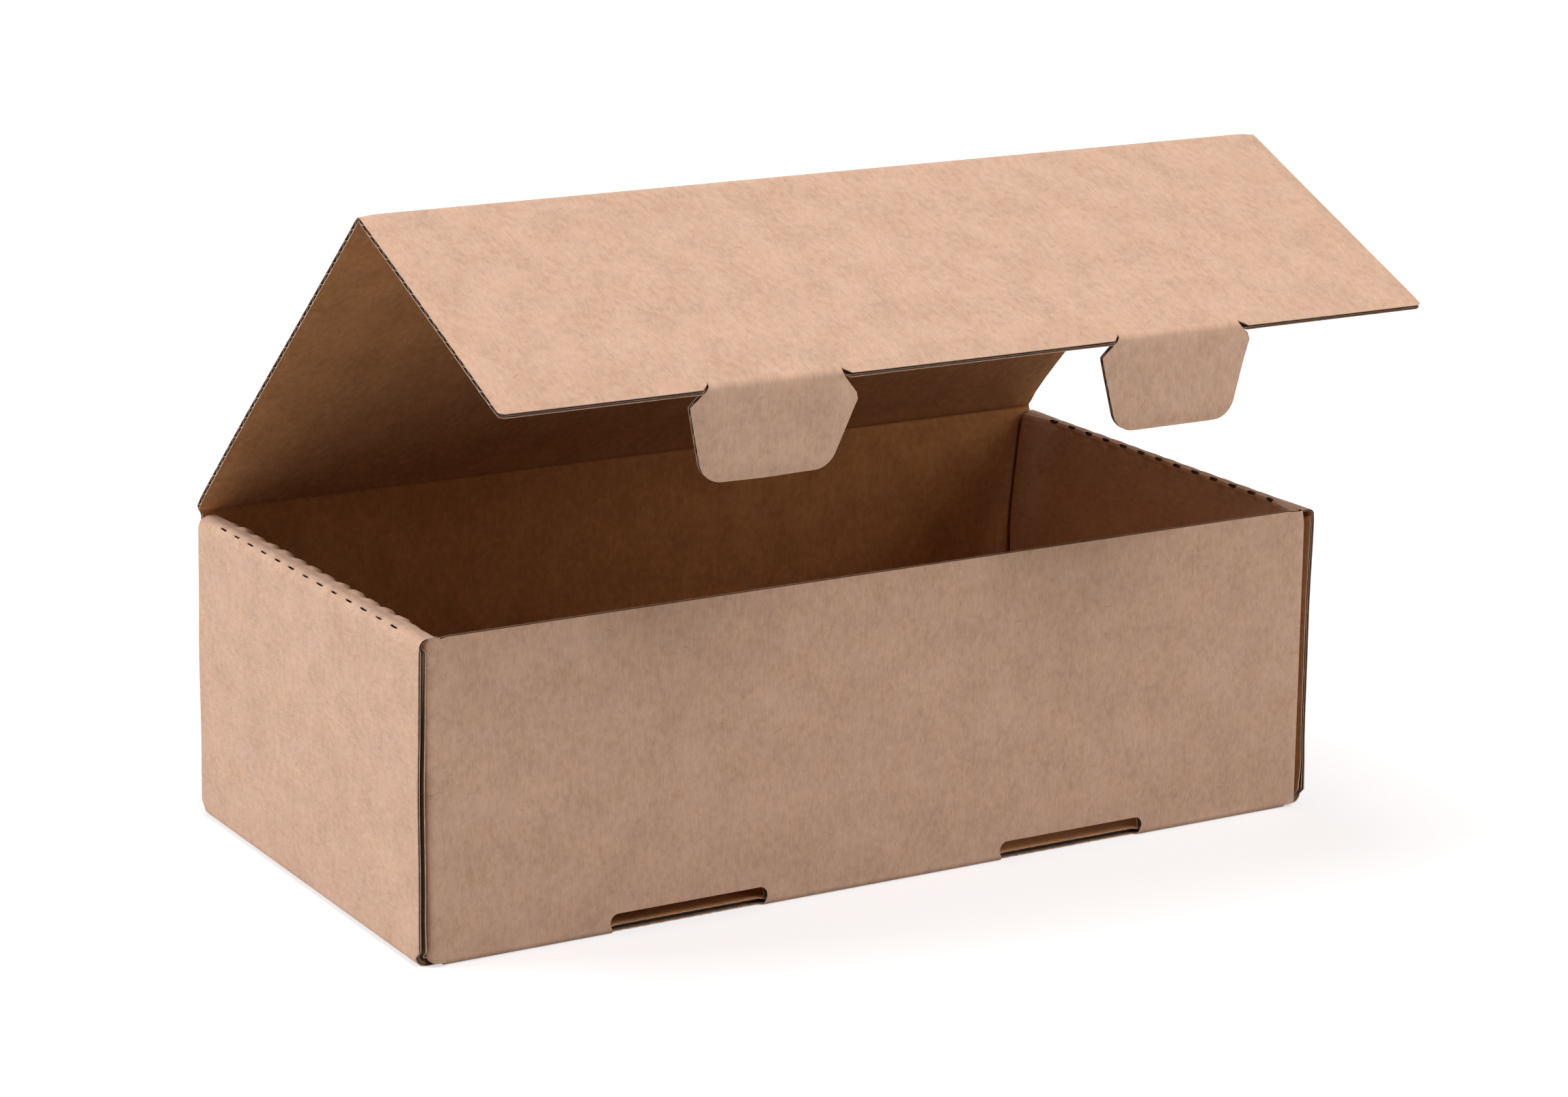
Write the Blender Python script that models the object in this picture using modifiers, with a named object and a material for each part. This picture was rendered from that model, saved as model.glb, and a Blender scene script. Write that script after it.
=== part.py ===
"""Open corrugated mailer box with rolled side walls and a hinged lid.

The box is one die-cut sheet of fluted board.  It is modelled in metres, +Z up,
with the origin at the middle of the footprint, on the ground.  The front wall
faces -Y.  What stays folded is one solid, the tray.  The lid, its front flap
and the flap's two tuck tabs turn about their creases, so each is a solid of
its own with its origin on its crease.
"""
import math

import bmesh
import bpy
from mathutils import Matrix, Vector

# Board: two liners with a wavy medium glued between them
BOARD = 0.0030            # thickness of the board
LINER = 0.0004            # thickness of a liner and of the medium
FLUTE_PITCH = 0.0064      # one wave of the medium
GLUE_LINE = 0.0010        # width of a wave's crest where it meets the liner
CLEAR = 0.0003            # gap between boards that lie against each other
EDGE_CRUSH = 0.0008       # how far the medium lies back from a cut edge

# Tray
BOX_W = 0.3440            # outer width, over the side walls
BOX_D = 0.1790            # outer depth, over the front and back walls
WALL_H = 0.1078           # height of the side and back walls
FRONT_DROP = 0.0006       # front wall's top edge, below the tops of the side walls
FOLD_R = 0.0018           # radius of a plain fold, at mid board
ROLL_R = 0.0022           # radius of the two folds on top of a side wall
CORNER_FLAP_L = 0.0700    # corner flap, held inside the double side wall
SIDE_GAP = 0.0006         # play on each side of a corner flap in the side wall
SIDE_INSET = 0.0010       # side wall's cut edge, back from the front wall's face
SIDE_CHAMFER_H = 0.0090   # height of the slanted corner at a side wall's foot

# Cuts along the two top folds of each side wall, which make them fold flat
SLIT_COUNT = 13
SLIT_PITCH = 0.0114
SLIT_LENGTH = 0.0046
SLIT_WIDTH = 0.0005

# Lugs that lock each inner side wall in the bottom
LUG_LENGTH = 0.0300
LUG_SPACING = 0.0900

# Lid and front flap
LID_OVERHANG = 0.0072     # front crease, past the middle of the front wall
LID_INSET = 0.00275       # lid's side edge, in from the side wall's face
FLAP_EDGE = 0.0022        # flap's cut edge, past the creases of its tabs
CREASE_BAND = 0.0040      # board crushed flat next to a crease

# Tuck tabs
TAB_X = 0.0745            # middle of a tab and of its slot, from the box's middle
TAB_NECK_W = 0.0480       # width at the crease
TAB_W = 0.0584            # width over the shoulders
TAB_SHOULDER = 0.0070     # crease to shoulders
TAB_TAPER_W = 0.0470      # width where the bottom corners start
TAB_LENGTH = 0.0315
TAB_CORNER_R = 0.0080
NOTCH_CLEAR = 0.0015      # room beside a tab's neck for its shoulders to turn
NOTCH_FLARE = 0.0020      # how much wider the notch is at the flap's edge
SLOT_CLEAR = 0.0004       # room on each side of a tab in its slot
SLOT_CORNER_R = 0.0010

# How far each piece is folded in the photographed pose, in degrees
LID_OPEN = 42.06          # above closed
FLAP_FOLD = 65.94         # from flat with the lid
TAB_LEFT_FOLD = 73.1      # from flat with the flap
TAB_RIGHT_FOLD = 69.1

ARC_STEPS = 4             # facets in a quarter turn of a fold
FLUTE_STEPS = 6           # facets in one opening of the medium's wave
KRAFT = (0.58, 0.38, 0.26, 1.0)
KRAFT_TAB = (0.54, 0.35, 0.24, 1.0)

# Places that follow from the sizes above
SIDE_X = -BOX_W / 2 + BOARD / 2                       # middle of the left outer wall
CORNER_X = SIDE_X + BOARD + SIDE_GAP                  # middle of a corner flap
INNER_X = CORNER_X + BOARD + SIDE_GAP                 # middle of the inner wall
FRONT_Y = -BOX_D / 2 + BOARD / 2
BACK_Y = -FRONT_Y
INNER_END_Y = BOX_D / 2 - BOARD - CLEAR               # ends of an inner side wall
SIDE_END_Y = BOX_D / 2 - SIDE_INSET
FRONT_H = WALL_H - FRONT_DROP
ROLL_Z = WALL_H - BOARD / 2
UNDER_ROLL_Z = ROLL_Z - ROLL_R - CLEAR                # what passes under the roll ends here
ABOVE_FLOOR_Z = BOARD + CLEAR
SIDE_FOLD_X = SIDE_X + FOLD_R                         # flat bottom ends here
FRONT_FOLD_Y = BOX_D / 2 - BOARD / 2 - FOLD_R
WALL_END_X = CORNER_X + FOLD_R                        # flat front wall ends here
NOTCH_X = INNER_X + BOARD / 2 + CLEAR                 # roll passes over the wall outside this
CORNER_FOOT_Z = BOARD / 2 + FOLD_R + CLEAR
FRONT_CORNER_Z = min(FRONT_H, UNDER_ROLL_Z)           # top of a corner flap of the front wall
LUG_Y = (LUG_SPACING - LUG_LENGTH) / 2                # near end of a lug
LUG_END_Y = LUG_Y + LUG_LENGTH
LID_AXIS_Y = BACK_Y
LID_AXIS_Z = WALL_H + CLEAR + BOARD / 2
LID_LENGTH = BACK_Y - FRONT_Y + LID_OVERHANG          # back crease to front crease
LID_WIDTH = BOX_W - 2 * LID_INSET
TAB_AXIS_Z = BOARD + CLEAR + BOARD / 2                # a tucked tab lies on the floor
TAB_DROP = LID_AXIS_Z - TAB_AXIS_Z                    # front crease to tab crease
FLAP_LENGTH = TAB_DROP + FLAP_EDGE
SLOT_TOP_Z = TAB_AXIS_Z + BOARD / 2 + CLEAR
OUTSIDE = 0.02                                        # how far a cutter runs past


def clear_scene():
    for old in list(bpy.data.objects):
        bpy.data.objects.remove(old, do_unlink=True)


def add_collection(name):
    collection = bpy.data.collections.new(name)
    bpy.context.scene.collection.children.link(collection)
    return collection


def add_object(name, mesh, collection):
    obj = bpy.data.objects.new(name, mesh)
    collection.objects.link(obj)
    return obj


def paper(name, color, roughness):
    material = bpy.data.materials.new(name)
    material.use_nodes = True
    shader = material.node_tree.nodes["Principled BSDF"]
    shader.inputs["Base Color"].default_value = color
    shader.inputs["Roughness"].default_value = roughness
    shader.inputs["Metallic"].default_value = 0.0
    return material


def as_cutter(obj):
    obj.hide_render = True
    obj.display_type = 'WIRE'
    return obj


def arc(center_u, center_v, radius, start, end, steps):
    """Points along an arc, from angle start to angle end, in degrees."""
    points = []
    for i in range(steps + 1):
        angle = math.radians(start + (end - start) * i / steps)
        points.append((center_u + radius * math.cos(angle), center_v + radius * math.sin(angle)))
    return points


def round_corner(before, corner, after, radius, steps):
    """The arc that replaces a corner of any angle between two straight runs."""
    run_in = math.atan2(corner[1] - before[1], corner[0] - before[0])
    run_out = math.atan2(after[1] - corner[1], after[0] - corner[0])
    turn = math.remainder(run_out - run_in, 2 * math.pi)
    back = radius * math.tan(abs(turn) / 2)
    side = math.copysign(1, turn)
    center_u = corner[0] - back * math.cos(run_in) - side * radius * math.sin(run_in)
    center_v = corner[1] - back * math.sin(run_in) + side * radius * math.cos(run_in)
    start = math.degrees(run_in) - side * 90
    return arc(center_u, center_v, radius, start, start + math.degrees(turn), steps)


def folded(points, radius, steps=ARC_STEPS):
    """A path through the points with each inner corner rounded."""
    path = [points[0]]
    for before, corner, after in zip(points, points[1:], points[2:]):
        run_in = (corner[0] - before[0], corner[1] - before[1])
        run_out = (after[0] - corner[0], after[1] - corner[1])
        if abs(run_in[0] * run_out[1] - run_in[1] * run_out[0]) < 1e-9:
            path.append(corner)
        else:
            path.extend(round_corner(before, corner, after, radius, steps))
    path.append(points[-1])
    return path


def place_yz(u, v, w):
    return (w, u, v)


def place_xz(u, v, w):
    return (u, w, v)


def place_xy(u, v, w):
    return (u, v, w)


def lay_strip(bm, path, place, lines, is_paper):
    """Lay a strip of sheet folded along a path and ruled by lines across it.  Only
    the cells whose middle is paper are made."""
    rows = [[bm.verts.new(place(u, v, w)) for w in lines] for u, v in path]
    for row, after in zip(rows, rows[1:]):
        for corners in zip(row, row[1:], after[1:], after):
            middle = sum((vert.co for vert in corners), Vector()) / 4
            if is_paper(middle):
                bm.faces.new(corners)


def sorted_lines(values):
    """Line positions in order, each once."""
    return sorted({round(value, 6) for value in values})


def solidify(obj, thickness):
    board = obj.modifiers.new("Board", 'SOLIDIFY')
    board.thickness = thickness
    board.offset = 0
    board.use_even_offset = True


def finish_sheet(name, bm, collection):
    """Weld the strips of a sheet where they meet and make the sheet an object."""
    bmesh.ops.delete(bm, geom=[vert for vert in bm.verts if not vert.link_faces], context='VERTS')
    bmesh.ops.remove_doubles(bm, verts=bm.verts, dist=2e-6)
    bmesh.ops.recalc_face_normals(bm, faces=bm.faces)
    mesh = bpy.data.meshes.new(name)
    bm.to_mesh(mesh)
    bm.free()
    return add_object(name, mesh, collection)


def box(name, low, high, collection):
    """A box from its low corner to its high corner."""
    bm = bmesh.new()
    size = [b - a for a, b in zip(low, high)]
    middle = [(a + b) / 2 for a, b in zip(low, high)]
    bmesh.ops.create_cube(bm, size=1, matrix=Matrix.Translation(middle) @ Matrix.Diagonal((*size, 1)))
    mesh = bpy.data.meshes.new(name)
    bm.to_mesh(mesh)
    bm.free()
    return as_cutter(add_object(name, mesh, collection))


def flat_shape(name, outlines, half_depth, turn, collection):
    """A flat outline, with holes, given depth as a filled 2D curve and made a mesh."""
    curve = bpy.data.curves.new(name, 'CURVE')
    curve.dimensions = '2D'
    curve.fill_mode = 'BOTH'
    curve.extrude = half_depth
    for outline in outlines:
        spline = curve.splines.new('POLY')
        spline.points.add(len(outline) - 1)
        for point, (u, v) in zip(spline.points, outline):
            point.co = (u, v, 0, 1)
        spline.use_cyclic_u = True
    drawn = add_object(name + "_drawn", curve, collection)
    bpy.context.view_layer.update()
    mesh = bpy.data.meshes.new_from_object(drawn.evaluated_get(bpy.context.evaluated_depsgraph_get()))
    bpy.data.objects.remove(drawn, do_unlink=True)
    bm = bmesh.new()
    bm.from_mesh(mesh)
    bmesh.ops.remove_doubles(bm, verts=bm.verts, dist=1e-6)
    bmesh.ops.transform(bm, verts=bm.verts, matrix=turn)
    bmesh.ops.recalc_face_normals(bm, faces=bm.faces)
    bm.to_mesh(mesh)
    bm.free()
    mesh.name = name
    return add_object(name, mesh, collection)


def mirrored(obj, axes, cutter=True):
    """Mirror about the box's middle planes; what meets at the plane is welded."""
    mirror = obj.modifiers.new("Mirror", 'MIRROR')
    mirror.use_axis = axes
    mirror.merge_threshold = 0.00001
    return as_cutter(obj) if cutter else obj


def boolean(obj, tool, operation):
    modifier = obj.modifiers.new(tool.name, 'BOOLEAN')
    modifier.operation = operation
    modifier.solver = 'EXACT'
    modifier.object = tool


def flute(middle, side):
    """One opening of the board's section, above (side 1) or below (side -1) the medium."""
    wall = BOARD / 2 - LINER
    swing = wall - LINER / 2
    half = (FLUTE_PITCH - GLUE_LINE) / 2
    points = []
    for i in range(FLUTE_STEPS + 1):
        u = half * (2 * i / FLUTE_STEPS - 1)
        depth = swing * (1 + math.cos(math.pi * u / half))
        points.append((middle + u, side * (wall - depth)))
    return points


def plate_outline(length, open_end):
    """Section of a hinged plate, along u from its crease at zero, across v.  At an
    open end the liners stand past the medium."""
    half = BOARD / 2
    outline = arc(0, 0, half, 90, 270, 8)
    if open_end:
        core = half - LINER
        back = length - EDGE_CRUSH
        outline += [(length, -half), (length, -core), (back, -core)]
        outline += [(back, core), (length, core), (length, half)]
    else:
        outline += [(length, -half), (length, half)]
    return outline


def flutes(length):
    """All openings of a plate's section, between the crushed bands at its ends."""
    count = int((length - 2 * CREASE_BAND) / FLUTE_PITCH)
    first = (length - count * FLUTE_PITCH) / 2
    above = [flute(first + FLUTE_PITCH * (i + 0.5), 1) for i in range(count)]
    below = [flute(first + FLUTE_PITCH * (i + 1), -1) for i in range(count - 1)]
    return above + below


def fluted_plate(name, length, open_end, half_width, parts, tools):
    """Board hinged at its origin, with open flutes running through it along X."""
    plate = flat_shape(name, [plate_outline(length, open_end)], half_width, SECTION_TURN, parts)
    openings = flat_shape(name + "_flutes", flutes(length), half_width + OUTSIDE, SECTION_TURN, tools)
    openings.parent = plate
    boolean(plate, as_cutter(openings), 'DIFFERENCE')
    return plate


# A section is drawn in the XY plane: u becomes -Y, v becomes Z, the depth becomes X
SECTION_TURN = Matrix(((0, 0, -1, 0), (-1, 0, 0, 0), (0, 1, 0, 0), (0, 0, 0, 1)))
# An outline of a plate is drawn in plan: u becomes X, v becomes -Y
PLAN_TURN = Matrix(((1, 0, 0, 0), (0, -1, 0, 0), (0, 0, -1, 0), (0, 0, 0, 1)))
# An outline of a wall is drawn from the front: u becomes X, v becomes Z
FRONT_TURN = Matrix(((1, 0, 0, 0), (0, 0, -1, 0), (0, 1, 0, 0), (0, 0, 0, 1)))


def bottom_and_walls(bm):
    """Left half of the strip that runs up the front wall, under the contents and up
    the back wall."""
    lug_lines = [LUG_Y - CLEAR, LUG_Y, LUG_END_Y, LUG_END_Y + CLEAR]
    floor = [(y, BOARD / 2) for y in sorted_lines(lug_lines + [-y for y in lug_lines])]
    front = [(FRONT_Y, z) for z in reversed(sorted_lines([CORNER_FOOT_Z, FRONT_CORNER_Z, FRONT_H]))]
    back = [(BACK_Y, z) for z in sorted_lines([CORNER_FOOT_Z, UNDER_ROLL_Z, WALL_H])]
    slot = (INNER_X - BOARD / 2 - CLEAR, INNER_X + BOARD / 2 + CLEAR)

    def is_paper(middle):
        if abs(middle.y) > FRONT_FOLD_Y:
            return middle.x > (NOTCH_X if middle.z > UNDER_ROLL_Z else WALL_END_X)
        in_slot = slot[0] < middle.x < slot[1] and LUG_Y - CLEAR < abs(middle.y) < LUG_END_Y + CLEAR
        return not in_slot

    lines = sorted_lines([SIDE_FOLD_X, *slot, WALL_END_X, NOTCH_X, 0])
    path = front + [(FRONT_Y, BOARD / 2)] + floor + [(BACK_Y, BOARD / 2)] + back
    lay_strip(bm, folded(path, FOLD_R), place_yz, lines, is_paper)


def corner_flap(bm, wall_y, top_z):
    """The end of the front or back wall, folded into the side wall."""
    end_y = wall_y + math.copysign(CORNER_FLAP_L, -wall_y)
    path = folded([(NOTCH_X, wall_y), (CORNER_X, wall_y), (CORNER_X, end_y)], FOLD_R)
    lay_strip(bm, path[1:], place_xy, sorted_lines([CORNER_FOOT_Z, top_z]), lambda middle: True)


def side_wall(bm):
    """The rolled double side wall: up outside, over the top and down inside, to the
    lugs that stand in the bottom."""
    foot = folded([(NOTCH_X, BOARD / 2), (SIDE_X, BOARD / 2), (SIDE_X, SIDE_CHAMFER_H)], FOLD_R)
    top = folded([(SIDE_X, SIDE_CHAMFER_H), (SIDE_X, ROLL_Z), (INNER_X, ROLL_Z),
                  (INNER_X, ABOVE_FLOOR_Z), (INNER_X, CLEAR)], ROLL_R)
    middle_x = (SIDE_X + INNER_X) / 2
    lug_lines = [LUG_Y - CLEAR, LUG_Y, LUG_END_Y, LUG_END_Y + CLEAR]
    end_lines = [FRONT_FOLD_Y, INNER_END_Y, SIDE_END_Y]
    lines = sorted_lines(sign * y for y in lug_lines + end_lines for sign in (-1, 1))

    def place(u, v, w):
        slanted = u < middle_x and v < SIDE_CHAMFER_H - CLEAR
        limit = FRONT_FOLD_Y if slanted else SIDE_END_Y
        return (u, max(-limit, min(limit, w)), v)

    def is_paper(middle):
        if middle.x < middle_x or middle.z > ROLL_Z - ROLL_R:
            return True
        if middle.z > ABOVE_FLOOR_Z:
            return abs(middle.y) < INNER_END_Y
        return LUG_Y < abs(middle.y) < LUG_END_Y

    lay_strip(bm, foot[1:] + top[1:], place, lines, is_paper)


def make_slits(tools):
    """Short cuts along both top folds, through the board at 45 degrees."""
    bm = bmesh.new()
    outer_fold = (SIDE_X + ROLL_R, ROLL_Z - ROLL_R, 45)
    inner_fold = (INNER_X - ROLL_R, ROLL_Z - ROLL_R, -45)
    reach = 2 * BOARD
    for fold_x, fold_z, tilt in (outer_fold, inner_fold):
        for i in range(SLIT_COUNT):
            y = SLIT_PITCH * (i - (SLIT_COUNT - 1) / 2)
            place = Matrix.Translation((fold_x, y, fold_z)) @ Matrix.Rotation(math.radians(-tilt), 4, 'Y')
            lift = Matrix.Translation((0, 0, reach / 2))
            size = Matrix.Diagonal((SLIT_WIDTH, SLIT_LENGTH, reach, 1))
            bmesh.ops.create_cube(bm, size=1, matrix=place @ lift @ size)
    mesh = bpy.data.meshes.new("slits")
    bm.to_mesh(mesh)
    bm.free()
    return mirrored(add_object("slits", mesh, tools), (True, False, False))


def make_side_core(tools):
    """Takes the medium back from the side walls' cut front and back edges."""
    bm = bmesh.new()
    points = [(SIDE_X, SIDE_CHAMFER_H + BOARD), (SIDE_X, ROLL_Z), (INNER_X - ROLL_R, ROLL_Z)]
    path = folded(points, ROLL_R, ARC_STEPS - 1)
    lines = [SIDE_END_Y - EDGE_CRUSH, SIDE_END_Y + OUTSIDE]
    lay_strip(bm, path, place_xz, lines, lambda middle: True)
    core = finish_sheet("side_core", bm, tools)
    solidify(core, BOARD - 2 * LINER)
    return mirrored(core, (True, True, False))


def make_front_core(tools):
    """Takes the medium back from the front wall's cut top edge."""
    half = BOARD / 2 - LINER
    low = (NOTCH_X + EDGE_CRUSH, FRONT_Y - half, FRONT_H - EDGE_CRUSH)
    high = (-NOTCH_X - EDGE_CRUSH, FRONT_Y + half, FRONT_H + OUTSIDE)
    return as_cutter(box("front_core", low, high, tools))


def make_slot(tools):
    """Slot for a tuck tab, through the front wall and its bottom fold."""
    half = TAB_W / 2 + SLOT_CLEAR
    r = SLOT_CORNER_R
    outline = [(-TAB_X - half, -OUTSIDE), (-TAB_X + half, -OUTSIDE)]
    outline += arc(-TAB_X + half - r, SLOT_TOP_Z - r, r, 0, 90, 3)
    outline += arc(-TAB_X - half + r, SLOT_TOP_Z - r, r, 90, 180, 3)
    slot = flat_shape("tab_slot", [outline], OUTSIDE / 2, FRONT_TURN, tools)
    slot.data.transform(Matrix.Translation((0, -FRONT_FOLD_Y - OUTSIDE / 2, 0)))
    return mirrored(slot, (True, False, False))


def make_tray(parts, tools, material):
    """One sheet, drawn as its left half, mirrored, given its thickness and cut."""
    bm = bmesh.new()
    bottom_and_walls(bm)
    corner_flap(bm, FRONT_Y, FRONT_CORNER_Z)
    corner_flap(bm, BACK_Y, UNDER_ROLL_Z)
    side_wall(bm)
    tray = finish_sheet("tray", bm, parts)
    mirrored(tray, (True, False, False), cutter=False)
    solidify(tray, BOARD)
    for tool in (make_slits(tools), make_side_core(tools), make_front_core(tools), make_slot(tools)):
        boolean(tray, tool, 'DIFFERENCE')
    tray.data.materials.append(material)
    return tray


def make_lid(parts, tools, material):
    stop = LID_LENGTH - BOARD / 2 - CLEAR
    lid = fluted_plate("lid_panel", stop, False, LID_WIDTH / 2, parts, tools)
    lid.location = (0, LID_AXIS_Y, LID_AXIS_Z)
    lid.rotation_euler.x = math.radians(-LID_OPEN)
    lid.data.materials.append(material)
    return lid


def make_front_flap(lid, parts, tools, material):
    """The flap, with a notch above each tab."""
    flap = fluted_plate("front_flap", FLAP_LENGTH, True, LID_WIDTH / 2, parts, tools)
    flap.parent = lid
    flap.location = (0, -LID_LENGTH, 0)
    flap.rotation_euler.x = math.radians(FLAP_FOLD)
    flap.data.materials.append(material)
    half = TAB_NECK_W / 2 + NOTCH_CLEAR
    top = TAB_DROP - BOARD / 2 - CLEAR
    for name, x in (("left_notch", -TAB_X), ("right_notch", TAB_X)):
        outline = [(x - half, top), (x - half, TAB_DROP), (x - half - NOTCH_FLARE, FLAP_LENGTH),
                   (x - half - NOTCH_FLARE, FLAP_LENGTH + OUTSIDE),
                   (x + half + NOTCH_FLARE, FLAP_LENGTH + OUTSIDE),
                   (x + half + NOTCH_FLARE, FLAP_LENGTH), (x + half, TAB_DROP), (x + half, top)]
        notch = as_cutter(flat_shape(name, [outline], OUTSIDE, PLAN_TURN, tools))
        notch.parent = flap
        boolean(flap, notch, 'DIFFERENCE')
    return flap


def tab_outline():
    """Plan of a tab: narrow neck, shoulders, tapered sides and round corners."""
    neck = (TAB_NECK_W / 2, 0)
    shoulder = (TAB_W / 2, TAB_SHOULDER)
    sag = TAB_LENGTH - TAB_CORNER_R
    corner = (TAB_TAPER_W / 2 - (TAB_W - TAB_TAPER_W) / 2 * (TAB_LENGTH - sag) / (sag - TAB_SHOULDER), TAB_LENGTH)
    right = [(neck[0], -BOARD), neck, shoulder]
    right += round_corner(shoulder, corner, (0, TAB_LENGTH), TAB_CORNER_R, 5)
    left = [(-u, v) for u, v in reversed(right)]
    return right + left


def make_tab(name, x, fold, flap, parts, tools, material):
    tab = fluted_plate(name, TAB_LENGTH, True, TAB_W / 2 + BOARD, parts, tools)
    outline = as_cutter(flat_shape(name + "_outline", [tab_outline()], OUTSIDE, PLAN_TURN, tools))
    outline.parent = tab
    boolean(tab, outline, 'INTERSECT')
    tab.parent = flap
    tab.location = (x, -TAB_DROP, 0)
    tab.rotation_euler.x = math.radians(fold)
    tab.data.materials.append(material)
    return tab


def main():
    clear_scene()
    parts = add_collection("open_cardboard_box")
    tools = add_collection("cutters")
    kraft = paper("kraft_board", KRAFT, 0.9)
    kraft_tab = paper("kraft_board_tabs", KRAFT_TAB, 0.9)
    make_tray(parts, tools, kraft)
    lid = make_lid(parts, tools, kraft)
    flap = make_front_flap(lid, parts, tools, kraft)
    make_tab("tab_left", -TAB_X, TAB_LEFT_FOLD, flap, parts, tools, kraft_tab)
    make_tab("tab_right", TAB_X, TAB_RIGHT_FOLD, flap, parts, tools, kraft_tab)


main()
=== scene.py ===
"""Looks of the open corrugated mailer box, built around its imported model.

The real box is one sheet of fluted board.  Each board here is made as the real
one is: two thin liners with a wavy medium between them, cut to its outline in
flat sheet coordinates and then folded.  s runs along the fold path and t across
it, w is the height above the middle of the board, towards the outer liner.
"""
import math
from functools import partial

import bpy
import numpy as np
from mathutils import Matrix, Vector


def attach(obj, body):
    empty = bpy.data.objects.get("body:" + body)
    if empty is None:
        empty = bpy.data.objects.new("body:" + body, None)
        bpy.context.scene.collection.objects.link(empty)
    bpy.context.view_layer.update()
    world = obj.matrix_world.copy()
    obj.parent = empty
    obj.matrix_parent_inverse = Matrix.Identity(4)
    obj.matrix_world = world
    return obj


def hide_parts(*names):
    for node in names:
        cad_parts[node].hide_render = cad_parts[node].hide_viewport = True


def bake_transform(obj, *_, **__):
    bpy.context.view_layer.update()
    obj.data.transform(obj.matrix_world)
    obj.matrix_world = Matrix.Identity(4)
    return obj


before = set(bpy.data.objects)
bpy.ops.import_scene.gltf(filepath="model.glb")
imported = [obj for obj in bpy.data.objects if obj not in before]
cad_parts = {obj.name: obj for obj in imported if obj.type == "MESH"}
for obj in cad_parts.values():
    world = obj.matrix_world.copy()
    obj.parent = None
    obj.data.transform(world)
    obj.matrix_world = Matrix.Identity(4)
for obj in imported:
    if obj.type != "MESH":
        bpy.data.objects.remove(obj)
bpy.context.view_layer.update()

MM = 0.001                    # the scene is in metres

# Board
BOARD = 3.0 * MM
HALF = BOARD / 2
LINER = 0.36 * MM
MEDIUM = 0.28 * MM
PITCH = 6.4 * MM
CLEAR = 0.3 * MM

# Tray
SIDE_X = -170.5 * MM          # middle of the left outer side wall
CORNER_X = -166.9 * MM        # middle of a corner flap
INNER_X = -163.3 * MM         # middle of the inner side wall
FRONT_Y = -88.0 * MM          # middle of the front wall
BACK_Y = 88.0 * MM
FRONT_H = 107.8 * MM
ROLL_Z = 106.3 * MM           # middle of the board on top of the side walls
UNDER_ROLL_Z = 103.8 * MM
CORNER_FOOT_Z = 3.6 * MM
SIDE_END = 88.5 * MM          # cut front edge of a side wall, from the middle
INNER_FRONT = 86.2 * MM       # front end of the inner side wall
INNER_BACK = 85.5 * MM
FOOT_END = 86.2 * MM          # ends of the fold at a side wall's foot
CHAMFER_Z = 5.4 * MM          # up to here a side wall widens from its foot
LUG_SLOT_X = (-161.5 * MM, -165.1 * MM)     # inner and outer edge of the left lugs' slots
SEAM_X = 159.0 * MM           # where the side walls' strips join the bottom
WALL_SEAM_X = 163.0 * MM      # where the corner flaps join the front and back walls
SHOULDER_X = 161.5 * MM       # a column of the front wall, where its shoulder drops
FOLD_R = 1.8 * MM
SLIT_PITCH = 11.4 * MM
SLIT_LENGTH = 5.0 * MM
SLIT_COUNT = 13
SLIT_WIDTHS = {1: (0.2 * MM, 0.3 * MM), -1: (0.04 * MM, 0.42 * MM)}    # half, on the outer and inner folds

# Lid, flap and tabs
LID_HALF = 169.25 * MM
LID_LENGTH = 183.2 * MM
LID_AXIS = (88.0 * MM, 109.6 * MM)
TAB_DROP = 104.0 * MM
FLAP_LENGTH = 106.3 * MM
TAB_XS = {"tab_left": -75.5 * MM, "tab_right": 72.9 * MM}
TAB_LENGTH = 30.7 * MM
SLOT_HALF = 29.0 * MM
SLOT_TOP_Z = 6.9 * MM
SLOT_R = 2.9 * MM
SLOT_FOLD_R = 3.4 * MM        # the slots' corners in the fold are rounder
SLOT_PAST_FOLD = 0.9 * MM    # how far past the fold's middle the slots run
SHOULDER_DROP = 0.35 * MM     # the front wall is lower under the rolls
HINGE_HALF = 168.9 * MM       # half width of the back wall's top behind the rolls
ROLL_BACK = 86.3 * MM         # back end of the rolls, at the lid's fold
LID_OPEN = 42.06
FLAP_FOLD = 65.94
TAB_FOLDS = {"tab_left": 73.1, "tab_right": 69.1}
CREASE = 3.0 * MM             # half length of a crease piece
TAB_CREASE = (0.9 * MM, 2.0 * MM)     # how far a tab's crease piece runs before and past its fold


# ---------------------------------------------------------------- fold paths

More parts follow.
